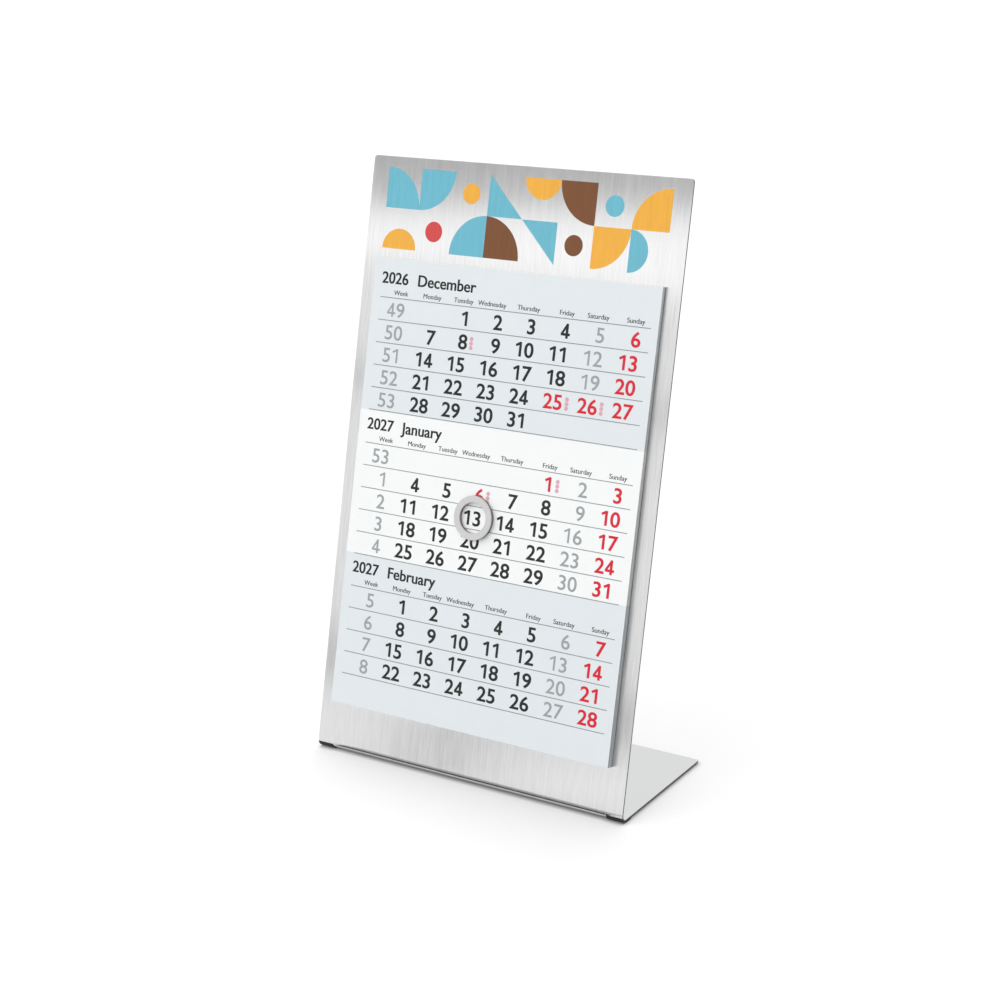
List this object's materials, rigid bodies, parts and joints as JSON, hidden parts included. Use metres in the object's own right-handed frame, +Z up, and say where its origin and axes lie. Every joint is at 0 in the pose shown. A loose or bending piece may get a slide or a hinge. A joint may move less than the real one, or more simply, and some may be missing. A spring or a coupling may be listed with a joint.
{
  "type": "desk calendar",
  "caption": "Tear-off three-month calendar pad on a leaning bent steel stand, with a magnetic ring that marks the day.",
  "frame": {"origin": "on the desk, under the middle of the part's box", "axes": "+Z up, the printed face looks towards -Y and leans back towards +Y, +X to the viewer's right"},
  "size_m": [0.105, 0.0454, 0.1705],
  "materials": {
    "steel": "brushed along the slope",
    "foot_rubber": "matte",
    "tape": "adhesive film",
    "card": "grey board",
    "gum": "dried gum",
    "paper": "uncoated, printed",
    "magnet": "magnetic rubber",
    "marker": "matte silver"
  },
  "bodies": {
    "stand": {"stand": "steel", "foot_front_left": "foot_rubber", "foot_front_right": "foot_rubber", "foot_rear_left": "foot_rubber", "foot_rear_right": "foot_rubber", "mounting_tape_lower": "tape", "mounting_tape_upper": "tape", "backing_card": "card", "binding_gum": "gum"},
    "sheet_01": {"sheet_01": "paper"},
    "sheet_02": {"sheet_02": "paper"},
    "sheet_03": {"sheet_03": "paper"},
    "sheet_04": {"sheet_04": "paper"},
    "sheet_05": {"sheet_05": "paper"},
    "sheet_06": {"sheet_06": "paper"},
    "sheet_07": {"sheet_07": "paper"},
    "sheet_08": {"sheet_08": "paper"},
    "sheet_09": {"sheet_09": "paper"},
    "sheet_10": {"sheet_10": "paper"},
    "sheet_11": {"sheet_11": "paper"},
    "sheet_12": {"sheet_12": "paper"},
    "marker": {"marker_magnet": "magnet", "marker_cover": "marker"}
  },
  "joints": [
    {"name": "sheet_02_lift", "type": "hinge", "parent": "stand", "child": "sheet_02", "pos_m": [0, 0.01332, 0.14246], "axis": [-1, 0, 0], "range_deg": [0, 66]},
    {"name": "sheet_03_lift", "type": "hinge", "parent": "stand", "child": "sheet_03", "pos_m": [0, 0.01332, 0.14246], "axis": [-1, 0, 0], "range_deg": [0, 60]},
    {"name": "sheet_04_lift", "type": "hinge", "parent": "stand", "child": "sheet_04", "pos_m": [0, 0.01332, 0.14246], "axis": [-1, 0, 0], "range_deg": [0, 54]},
    {"name": "sheet_05_lift", "type": "hinge", "parent": "stand", "child": "sheet_05", "pos_m": [0, 0.01332, 0.14246], "axis": [-1, 0, 0], "range_deg": [0, 48]},
    {"name": "sheet_06_lift", "type": "hinge", "parent": "stand", "child": "sheet_06", "pos_m": [0, 0.01332, 0.14246], "axis": [-1, 0, 0], "range_deg": [0, 42]},
    {"name": "sheet_07_lift", "type": "hinge", "parent": "stand", "child": "sheet_07", "pos_m": [0, 0.01332, 0.14246], "axis": [-1, 0, 0], "range_deg": [0, 36]},
    {"name": "sheet_08_lift", "type": "hinge", "parent": "stand", "child": "sheet_08", "pos_m": [0, 0.01332, 0.14246], "axis": [-1, 0, 0], "range_deg": [0, 30]},
    {"name": "sheet_09_lift", "type": "hinge", "parent": "stand", "child": "sheet_09", "pos_m": [0, 0.01332, 0.14246], "axis": [-1, 0, 0], "range_deg": [0, 24]},
    {"name": "sheet_10_lift", "type": "hinge", "parent": "stand", "child": "sheet_10", "pos_m": [0, 0.01332, 0.14246], "axis": [-1, 0, 0], "range_deg": [0, 18]},
    {"name": "sheet_11_lift", "type": "hinge", "parent": "stand", "child": "sheet_11", "pos_m": [0, 0.01332, 0.14246], "axis": [-1, 0, 0], "range_deg": [0, 12]},
    {"name": "sheet_12_lift", "type": "hinge", "parent": "stand", "child": "sheet_12", "pos_m": [0, 0.01332, 0.14246], "axis": [-1, 0, 0], "range_deg": [0, 6]},
    {"name": "sheet_01_lift", "type": "hinge", "parent": "sheet_02", "child": "sheet_01", "pos_m": [0, 0.01332, 0.14246], "axis": [-1, 0, 0], "range_deg": [0, 110]},
    {"name": "marker_slide", "type": "slide", "parent": "sheet_01", "child": "marker", "axis": [1, 0, 0], "range_m": [-0.03697, 0.04533]}
  ],
  "couplings": [
    {"joint": "sheet_03_lift", "follows": "sheet_02_lift", "ratio": 0.90909},
    {"joint": "sheet_04_lift", "follows": "sheet_02_lift", "ratio": 0.81818},
    {"joint": "sheet_05_lift", "follows": "sheet_02_lift", "ratio": 0.72727},
    {"joint": "sheet_06_lift", "follows": "sheet_02_lift", "ratio": 0.63636},
    {"joint": "sheet_07_lift", "follows": "sheet_02_lift", "ratio": 0.54545},
    {"joint": "sheet_08_lift", "follows": "sheet_02_lift", "ratio": 0.45454},
    {"joint": "sheet_09_lift", "follows": "sheet_02_lift", "ratio": 0.36364},
    {"joint": "sheet_10_lift", "follows": "sheet_02_lift", "ratio": 0.27273},
    {"joint": "sheet_11_lift", "follows": "sheet_02_lift", "ratio": 0.18182},
    {"joint": "sheet_12_lift", "follows": "sheet_02_lift", "ratio": 0.090909}
  ]
}
